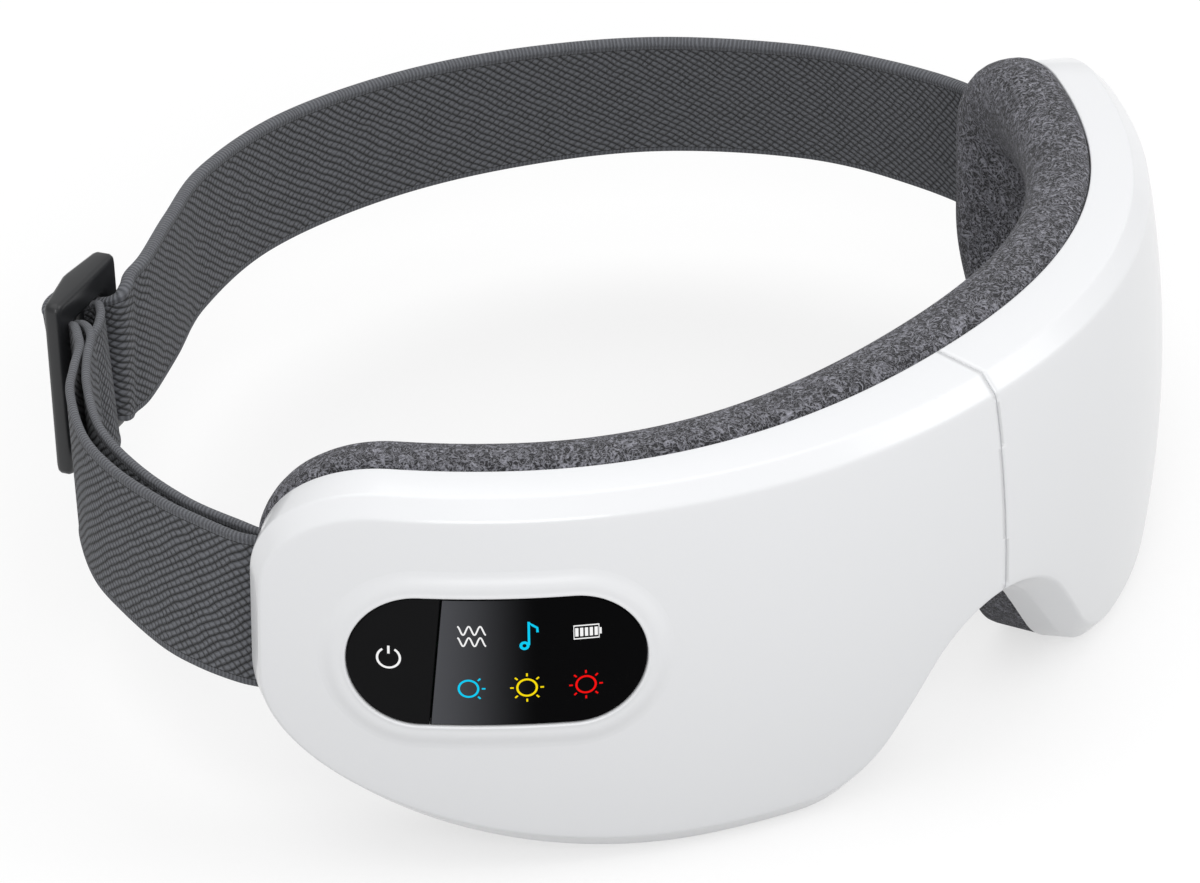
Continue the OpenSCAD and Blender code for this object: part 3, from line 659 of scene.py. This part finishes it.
def battery_mark(middle, half_h=1.15, bar_h=0.75):
    case = [(-2.05, -half_h), (1.85, -half_h), (1.85, half_h), (-2.05, half_h)]
    knob = [(2.1, -0.55), (2.1, 0.55)]
    strips = [(at_mark(middle, case), 0.24, True), (at_mark(middle, knob), 0.3, False)]
    for x in (-1.6, -0.85, -0.1, 0.65, 1.4):
        strips.append((at_mark(middle, [(x, -bar_h), (x, bar_h)]), 0.5, False))
    ink("mark_battery", strips, white_ink, "left_half")


def note_mark(middle):
    stem_and_flag = [(0.2, -1.75), (0.2, 2.35), (0.75, 1.75), (1.5, 1.25), (1.55, 0.45)]
    head = circle((middle[0] + 0.5, middle[1] - 1.85), 0.55, 24)
    strips = [(at_mark(middle, stem_and_flag), 0.38, False), (head, 0.45, True)]
    ink("mark_note", strips, cyan_ink, "left_half")


def sun_mark(name, middle, angles, mat):
    """Ring with a short ray at each angle."""
    strips = [(circle(middle, 1.5), 0.34, True)]
    for a in angles:
        c, q = math.cos(math.radians(a)), math.sin(math.radians(a))
        strips.append((at_mark(middle, [(c * 2.05, q * 2.05), (c * 2.6, q * 2.6)]), 0.28, False))
    ink(name, strips, mat, "left_half")


power_mark((108.3, 40.7))
waves_mark(95.4, (45.95, 43.95))
battery_mark((77.6, 45.0))
note_mark((86.8, 45.0))
sun_mark("mark_sun_low", (96.0, 35.5), [45, 0, -45], cyan_ink)
sun_mark("mark_sun_mid", (87.0, 35.55), range(0, 360, 45), yellow_ink)
sun_mark("mark_sun_high", (77.9, 35.5), range(0, 360, 45), red_ink)


# Face pad: one cover over both halves

# Section of the cushion from the shell's rim over the swell and the crest down to the hollow. A row is the
# inset from the outline, the depth, the share of the nose depth of the shell and that of the cushion
PAD_EDGE = [(2.2, 9.3, 1, 0), (0.9, 9.33, 1, 0), (0.25, 9.42, 1, 0), (-0.3, 9.8, 1, 0),
            (-0.75, 10.5, 1, 0), (-1.05, 11.5, 1, 0.05), (-1.2, 12.8, 1, 0.2), (-1.2, 14.2, 1, 0.4),
            (-1.0, 15.6, 1, 0.6), (-0.5, 16.9, 1, 0.8), (0.3, 18.0, 1, 0.95), (1.4, 18.9, 1, 1),
            (2.9, 19.55, 1, 1), (4.6, 19.85, 1, 1), (6.3, 19.8, 1, 1), (8.0, 19.4, 1, 1),
            (9.7, 18.75, 1, 0.9)]
# Inside the crest: inset and how far the hollow has sunk below PAD_CREST; the last row is the hollow's floor
PAD_CREST = 20.2
PAD_HOLLOW = [(11.3, 2.0), (12.9, 2.9), (14.5, 3.7), (16.0, 4.4), (17.4, 4.9), (18.8, 5.3), (20.2, 6.3)]
# The bridge between the eyes sinks by this share up to its half width, and from there over the reach the
# share grows to the whole
BRIDGE_SHARE, BRIDGE_HALF, BRIDGE_REACH = 0.35, 2.0, 24.0
# The cushion's edge along the bottom stays above the ground
PAD_LOWEST = 0.15


def edge_row(inset, d, shell_share, pad_share):
    """Layer of the cushion from a row of PAD_EDGE."""
    def depth(s, z):
        lean = nose_lean(s, z)
        return d + shell_share * NOSE_DEPTH * lean + pad_share * PAD_NOSE * np.maximum(lean, 0)
    return inset, 0.0, inset, depth


def hollow_row(inset, sunk):
    """Layer of the cushion from a row of PAD_HOLLOW."""
    def depth(s, z):
        t = np.clip((s - BRIDGE_HALF) / BRIDGE_REACH, 0, 1)
        share = BRIDGE_SHARE + (1 - BRIDGE_SHARE) * t * t * (3 - 2 * t)
        deeper = (NOSE_DEPTH + 0.8 * PAD_NOSE) * nose_lean(s, z) * (1 - sunk / 8)
        return PAD_CREST + deeper - sunk * share
    return inset, 0.0, inset, depth


def pad():
    """Cushion of both halves in one mesh, joined at the nose."""
    layers = [edge_row(*row) for row in PAD_EDGE] + [hollow_row(*row) for row in PAD_HOLLOW]
    U, V = stations(16, 70, 36), np.linspace(0, 1, 40)
    halves = [layered(U, V, layers[0], layers[1:-1], layers[-1], side, lowest=PAD_LOWEST) for side in (1, -1)]
    verts = np.concatenate([halves[0][0], halves[1][0]])
    faces = np.concatenate([halves[0][1], halves[1][1] + len(halves[0][0])])
    # The wall that closes each half at the nose isn't needed where the halves join
    faces = faces[np.abs(verts[faces][:, :, 0]).max(1) >= 1e-7]
    ob = mesh_object("face_cushion", verts, faces, suede_mat)
    remesh(ob, lambda bm: bmesh.ops.remove_doubles(bm, verts=bm.verts, dist=1e-6))
    for p in ob.data.polygons:
        p.use_smooth = True
    return ob


cushion = pad()
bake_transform(cushion)
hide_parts("face_pad_left", "face_pad_right", "face_pad_bridge")


# Flat cable from board to board inside the halves

# Its ends along the face, where s is minus on the display half, its lower edge and depth, and its width and
# thickness
CABLE_FROM, CABLE_TO = -95.05, 81.6
CABLE_Z, CABLE_D = 57.5, 4.0
CABLE_W, CABLE_T = 4.9, 0.25


def cable():
    """Thin band along both halves; its rows are close together at the nose, where it bends."""
    along = np.concatenate([np.linspace(CABLE_FROM, -14, 30), np.linspace(-13, 13, 53),
                            np.linspace(14, CABLE_TO, 28)])
    section = [(0, 0), (CABLE_W, 0), (CABLE_W, CABLE_T), (0, CABLE_T)]
    verts = [on_face(abs(s), CABLE_Z + z, CABLE_D + d, 1 if s > 0 else -1) for s in along for z, d in section]
    end = 4 * (len(along) - 1)
    faces = tube_faces(len(along), 4) + [(3, 2, 1, 0), (end, end + 1, end + 2, end + 3)]
    return mesh_object("flat_cable", np.array(verts), faces, cable_mat, smooth=False)


flat_cable = cable()
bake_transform(flat_cable)
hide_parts("nose_cable")


# Webbing

def smooth_row(P, t):
    """Row at t on the smooth path through the rows P."""
    n = len(P) - 1
    i = min(n - 1, int(math.floor(t)))
    f = t - i
    p1, p2 = P[i], P[i + 1]
    p0 = P[i - 1] if i > 0 else 2 * p1 - p2
    p3 = P[i + 2] if i < n - 1 else 2 * p2 - p1
    return 0.5 * (2 * p1 + (p2 - p0) * f + (2 * p0 - 5 * p1 + 4 * p2 - p3) * f * f
                  + (3 * p1 - p0 - 3 * p2 + p3) * f ** 3)


def web_section(thick):
    """Section of the webbing as (height, out): flat faces with a rounded, slightly thicker edge each side."""
    half, flat_half, round_r, proud = STRAP_W / 2, STRAP_W / 2 - 0.9, 0.85, 0.12
    angles = np.radians(np.linspace(80, -80, 9))
    flat = np.stack([np.linspace(-flat_half, flat_half, 25), np.full(25, thick / 2)], -1)
    edge = np.stack([half - round_r + round_r * np.cos(angles), (thick / 2 + proud) * np.sin(angles)], -1)
    one_side = np.concatenate([flat, edge])
    return np.concatenate([one_side, -one_side])


def band(name, path, thick, side, slant=1, per_row=16):
    """Webbing along a plan path; side is the side that faces out, slant -1 turns the weave over.

    A row of the path is x, y (before the shift), lean in degrees, lift and, where the webbing is gathered,
    the share of its width that is left."""
    P = np.array([list(row) + [1.0] * (5 - len(row)) for row in path], float)
    n = (len(P) - 1) * per_row
    up, out = web_section(thick).T
    verts, uv = [], []
    along, last = 0.0, None
    for i in range(n + 1):
        t = i / per_row
        x, y, lean, lift, share = smooth_row(P, t)
        ahead = smooth_row(P, min(t + 0.02, len(P) - 1)) - smooth_row(P, max(t - 0.02, 0))
        normal = np.array([ahead[1], -ahead[0]]) * side / math.hypot(ahead[0], ahead[1])
        if last is not None:
            along += math.hypot(x - last[0], y - last[1])
        last = (x, y)
        c, q = math.cos(math.radians(lean)), math.sin(math.radians(lean))
        off = out * c - up * share * q
        height = STRAP_Z + lift + up * share * c + out * q
        verts.append(np.stack([x + normal[0] * off, y + normal[1] * off - SHIFT, height], -1) * MM)
        uv.append(np.stack([np.full(len(up), along), up * slant], -1))
    m = len(up)
    faces = tube_faces(n + 1, m)
    if side > 0:
        faces = [face[:1] + face[:0:-1] for face in faces]
    first, final = tuple(range(m)), tuple(n * m + k for k in range(m))
    faces += [first[::-1], final] if side < 0 else [first, final[::-1]]
    return mesh_object(name, np.concatenate(verts), faces, weave_mat, uv=np.concatenate(uv))


# Slider

# Middle of its inner face in plan (before the shift), the way it faces, its lean (top outward) and its sizes
SLIDER = (-51.85, 148.83)
SLIDER_TURN = math.radians(15.5)
SLIDER_LEAN = math.radians(2.8)
SLIDER_L, SLIDER_H = 20.9, 31.8
STILE, RAIL = 4.5, 5.2
CORNER_R, SLOTS_R = 1.3, 1.8
# Depth of the slider at its near end, at the ridge and at its far end, and the place of the ridge
DEPTH_NEAR, DEPTH_RIDGE, DEPTH_FAR, RIDGE = 2.8, 4.75, 3.6, 0.4
# Middle bar: half width, half depth, depth of its middle and how far it reaches into the rails
BAR_X, BAR_D, BAR_MIDDLE, BAR_IN = 1.3, 1.1, 2.3, 0.5
# Section of the frame: share of the way from the outer to the inner edge, and distance in from the face
FRAME_SIDE = [(0, 0.8), (0.04, 0.3), (0.12, 0.06), (0.22, 0), (0.8, 0), (0.93, 0.12), (1, 0.6)]


def by_slider(x, y):
    c, s = math.cos(SLIDER_TURN), math.sin(SLIDER_TURN)
    return [SLIDER[0] + x * c - y * s, SLIDER[1] + x * s + y * c]


def slider_point(x, z, d):
    """Point of the slider at x along it, z up and d out from its inner face, with its lean."""
    c, s = math.cos(SLIDER_LEAN), math.sin(SLIDER_LEAN)
    px, py = by_slider(x, d * c + z * s)
    return np.array([px, py - SHIFT, STRAP_Z + z * c - d * s]) * MM


def round_loop(half_x, half_z, r, n_corner=7, n_side=14):
    """Closed loop of a rounded rectangle, always with the same count of points."""
    corners = []
    for q, (sx, sz) in enumerate([(1, 1), (-1, 1), (-1, -1), (1, -1)]):
        a = np.radians(np.linspace(90 * q, 90 * q + 90, n_corner))
        corners.append(np.stack([sx * (half_x - r) + r * np.cos(a), sz * (half_z - r) + r * np.sin(a)], -1))
    shares = np.arange(1, n_side)[:, None] / n_side
    loop = []
    for corner, following in zip(corners, corners[1:] + corners[:1]):
        loop += [corner, corner[-1] + (following[0] - corner[-1]) * shares]
    return np.concatenate(loop)


def slider_depth(x):
    """Distance of the outer face from the inner one at x along the slider, highest at the ridge."""
    near = DEPTH_NEAR + (DEPTH_RIDGE - DEPTH_NEAR) * (x + SLIDER_L / 2) / (RIDGE + SLIDER_L / 2)
    far = DEPTH_FAR + (DEPTH_RIDGE - DEPTH_FAR) * (SLIDER_L / 2 - x) / (SLIDER_L / 2 - RIDGE)
    return min(near, far)


def slider_frame(n_bar=16):
    """Frame of the slider with a ridged outer face and soft edges, and the bar across its middle."""
    outer = round_loop(SLIDER_L / 2, SLIDER_H / 2, CORNER_R)
    inner = round_loop(SLIDER_L / 2 - STILE, SLIDER_H / 2 - RAIL, SLOTS_R)
    verts = []
    for a, b in zip(outer, inner):
        for t, off in FRAME_SIDE:
            verts.append(slider_point(*(a + (b - a) * t), off))
        for t, off in FRAME_SIDE[::-1]:
            x, z = a + (b - a) * t
            verts.append(slider_point(x, z, slider_depth(x) - off))
    faces = tube_faces(len(outer), 2 * len(FRAME_SIDE), closed=True)
    start, bar_end = len(verts), SLIDER_H / 2 - RAIL + BAR_IN
    for z in (-bar_end, bar_end):
        for k in range(n_bar):
            a = 2 * math.pi * k / n_bar
            verts.append(slider_point(BAR_X * math.cos(a), z, BAR_MIDDLE + BAR_D * math.sin(a)))
    faces += [tuple(start + i for i in face) for face in tube_faces(2, n_bar)]
    ob = mesh_object("slider_body", np.array(verts), faces, plastic_mat)
    remesh(ob, lambda bm: bmesh.ops.holes_fill(bm, edges=[e for e in bm.edges if e.is_boundary]))
    return ob


slider_body = slider_frame()
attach(slider_body, "strap_slider")
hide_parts("strap_slider")


# Straps

# Place of the bars that hold the straps, along the face and in depth
MOUNT_S, MOUNT_D = 118, 12


def gathered(x, y, lean=0.0, share=1.0):
    """Row of a path at a place by the slider."""
    return by_slider(x, y) + [lean, 0, share]


def from_bar(side, *places):
    """Rows without lean or lift, at places (along, deeper) past the bar that holds the strap of one half."""
    rows_out = []
    for along, deeper in places:
        x, y = on_face(MOUNT_S + along, 0, MOUNT_D + deeper, side)[:2] / MM
        rows_out.append([x, y + SHIFT, 0, 0])
    return rows_out


LONG = from_bar(1, (1.9, 0), (8, 0), (14.5, 0)) + [
    [98.5, 83.2, 11.2, 0], [97.9, 100.0, 16.4, 0], [92.75, 117.6, 19.6, 0], [79.05, 138.05, 19.4, 0],
    [59.75, 153.4, 16.7, 0], [38.25, 163.3, 13.3, 0], [14.0, 167.55, 9.1, 0], [-8.0, 164.1, 3.5, 0],
    [-23.95, 156.9, 0.8, 0], [-36.7, 150.9, 1.2, 0], gathered(9.2, -2.2, 1.4, 0.98),
    gathered(6.5, -2.9, 1.0, 0.94), gathered(4.5, -2.9, 0.2, 0.88), gathered(3.7, -1.6, -1.4, 0.81),
    gathered(3.6, 0.4, -2.8, 0.75), gathered(3.6, 2.4, -2.8, 0.72)]
OUTER = from_bar(-1, (2, -1.3), (8, -1.7), (14.8, -1.8)) + [
    [-94.9, 78.4, 0, 0], [-95.2, 86, 1, 0], [-94.5, 94.5, 0, 0], [-91.4, 106.5, -3, 0],
    [-86.6, 117.5, -3.5, 0], [-77.9, 128.6, -3, 0], [-71.2, 134.0, -3, 0], gathered(-15.9, -6.8, -3),
    gathered(-12.3, -4.6, -3, 0.98), gathered(-8.7, -2.2, -3, 0.92), gathered(-6.0, 0.0, -3, 0.82),
    gathered(-5.1, 1.4, -3, 0.75), gathered(-4.9, 2.8, -3, 0.72)]
INNER = from_bar(-1, (2, 1.3), (8, 1.2), (14.5, 0.4)) + [
    [-91.9, 80, 0, 0], [-91.7, 91, -1, 0], [-88.8, 104, -2, 0], [-83.2, 117, -3, 0], [-74.5, 128.0, -3, 0],
    gathered(-18.4, -9.4, -3), gathered(-12.6, -7.1, -3, 0.99), gathered(-9.1, -4.9, -3, 0.96),
    gathered(-6.3, -2.3, -3, 0.88), gathered(-4.0, 0.4, -3, 0.76), gathered(-3.5, 2.4, -3, 0.72)]
# Over the slider: the arch outside from slot to slot, and the sewn end that comes back out of the far slot
ARCH = [gathered(-4.2, 1.6, 2.8, 0.72), gathered(-4.4, 3.5, 5, 0.76), gathered(-3.7, 4.9, 7, 0.82),
        gathered(-1.9, 5.7, 7, 0.84), gathered(0.4, 5.8, 7, 0.84), gathered(2.6, 5.5, 7, 0.82),
        gathered(3.5, 4.6, 5, 0.76), gathered(3.6, 2.2, 2.8, 0.72)]
TAIL = [gathered(2.0, 2.4, -4, 0.74), gathered(1.95, 0.7, -4, 0.80), gathered(0.9, -1.6, -4, 0.88),
        gathered(-2.2, -3.9, -4.5, 0.91), gathered(-5.0, -5.1, -4.5, 0.92), gathered(-7.2, -5.7, -4, 0.92),
        gathered(-9.6, -5.9, -3, 0.92), gathered(-11.2, -6.2, -3, 0.92)]
LONG_T, SHORT_T = 2.0, 1.3

strap_long = band("strap_long_web", LONG, LONG_T, 1, slant=-1)
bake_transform(strap_long)
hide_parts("strap_long")

for label, path in (("outer", OUTER), ("inner", INNER)):
    ply = band("strap_return_" + label, path, SHORT_T, -1)
    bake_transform(ply)
    if label == "outer":
        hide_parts("strap_return")

for label, path in (("arch", ARCH), ("tail", TAIL)):
    ply = band("strap_wrap_" + label, path, SHORT_T, 1)
    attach(ply, "strap_slider")
    if label == "arch":
        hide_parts("strap_wrap")


# Floor and light

# Share of plain white in what is seen of the ground, and the ground's tone for all other rays
PLAIN_SHARE, UNSEEN_TONE = 0.65, 0.5


def paper():
    """White ground. What the camera and mirrors see of it is mostly plain white, so its shadow stays soft."""
    m = principled("floor_white", [0.8, 0.8, 0.8, 1], 1.0, **{"Specular IOR Level": 0.0})
    path = node(m, "ShaderNodeLightPath").outputs
    mirrored = maths(m, "MAXIMUM", path["Is Glossy Ray"], path["Is Transmission Ray"])
    seen = maths(m, "MAXIMUM", path["Is Camera Ray"], mirrored)
    # For all other rays the ground is grey, so that it throws less light back up
    tone = add(m, UNSEEN_TONE, times(m, seen, 1 - UNSEEN_TONE))
    grey = node(m, "ShaderNodeCombineColor")
    for channel in ("Red", "Green", "Blue"):
        link(m, tone, grey.inputs[channel])
    link(m, grey.outputs["Color"], shader(m).inputs["Base Color"])
    white = node(m, "ShaderNodeEmission", Strength=1.0)
    mix = node(m, "ShaderNodeMixShader")
    link(m, times(m, seen, PLAIN_SHARE), mix.inputs[0])
    link(m, shader(m).outputs[0], mix.inputs[1])
    link(m, white.outputs[0], mix.inputs[2])
    link(m, mix.outputs[0], m.node_tree.nodes["Material Output"].inputs["Surface"])
    return m


FLOOR_HALF = 4
floor_corners = [(x * FLOOR_HALF, y * FLOOR_HALF, 0) for x, y in ((-1, -1), (1, -1), (1, 1), (-1, 1))]
floor = mesh_object("floor", floor_corners, [(0, 1, 2, 3)], paper(), smooth=False)

world = bpy.data.worlds.new("studio")
bpy.context.scene.world = world
world.use_nodes = True
world.node_tree.nodes["Background"].inputs["Color"].default_value = (1, 1, 1, 1)
world.node_tree.nodes["Background"].inputs["Strength"].default_value = 0.61


def area(name, at, aim, size, power):
    """Square lamp at a place, turned to a point; metres and watts."""
    light = bpy.data.lights.new(name, "AREA")
    light.energy = power
    light.shape = "RECTANGLE"
    light.size, light.size_y = size, size
    ob = bpy.data.objects.new(name, light)
    ob.location = at
    ob.rotation_euler = (Vector(aim) - Vector(at)).to_track_quat("-Z", "Y").to_euler()
    bpy.context.scene.collection.objects.link(ob)


area("soft_top", (0.0, 0.1, 1.3), (0, 0, 0.0), 1.6, 6.8)
area("soft_left", (-1.0, -1.0, 0.85), (0, 0, 0.03), 0.8, 7.1)
area("soft_right", (0.9, -0.9, 0.9), (0, 0, 0.03), 0.8, 3.3)


# Camera: degrees round and up, roll, distance and target in metres, lens in millimetres

AZ, EL, ROLL = math.radians(-49.29), math.radians(30.0), math.radians(-0.57)
LENS, DIST = 360.0, 1.93486
TARGET = Vector((-0.0350, 0.0530 - SHIFT * MM, 0.0506 + FLARE * MM))


def camera():
    """Camera that looks at the target along its own axis, rolled about it."""
    back = Vector((math.sin(AZ) * math.cos(EL), -math.cos(AZ) * math.cos(EL), math.sin(EL)))
    level = Vector((math.cos(AZ), math.sin(AZ), 0))
    upright = back.cross(level)
    right = level * math.cos(ROLL) + upright * math.sin(ROLL)
    up = upright * math.cos(ROLL) - level * math.sin(ROLL)
    data = bpy.data.cameras.new("camera")
    data.lens = LENS
    data.sensor_width = 36.0
    data.clip_start = 0.05
    data.clip_end = 30
    ob = bpy.data.objects.new("camera", data)
    lines = [(right[i], up[i], back[i], TARGET[i] + back[i] * DIST) for i in range(3)]
    ob.matrix_world = Matrix(lines + [(0, 0, 0, 1)])
    bpy.context.scene.collection.objects.link(ob)
    return ob


bpy.context.scene.camera = camera()
bpy.context.scene.view_settings.view_transform = "Standard"
